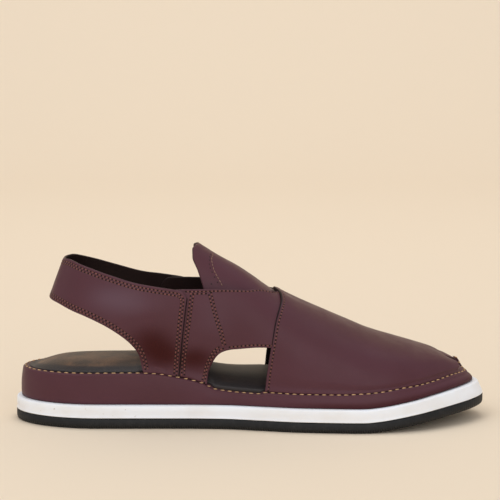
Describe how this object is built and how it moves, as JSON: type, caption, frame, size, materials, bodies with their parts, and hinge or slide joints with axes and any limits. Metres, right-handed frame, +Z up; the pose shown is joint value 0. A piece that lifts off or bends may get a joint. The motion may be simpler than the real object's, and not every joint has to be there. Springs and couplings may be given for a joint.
{
  "type": "peshawari chappal",
  "caption": "Peshawari chappal: leather upper of crossing vamp pieces and an open heel strap on a wrapped wedge, white midsole and black outsole.",
  "frame": {"origin": "on the ground, under the middle of the sole's outline", "axes": "+X to the toe, +Y to the inner side of the foot, +Z up"},
  "size_m": [0.298, 0.105, 0.1121],
  "materials": {
    "outsole": "matt black rubber",
    "midsole": "matt white foamed rubber",
    "wedge": "satin burgundy leather wrap",
    "insole": "matt brown sock leather",
    "upper": "satin burgundy leather",
    "tongue": "satin burgundy leather"
  },
  "bodies": {
    "root": {"outsole": "outsole", "midsole": "midsole", "wedge": "wedge", "insole": "insole", "upper": "upper", "tongue": "tongue"}
  },
  "joints": []
}
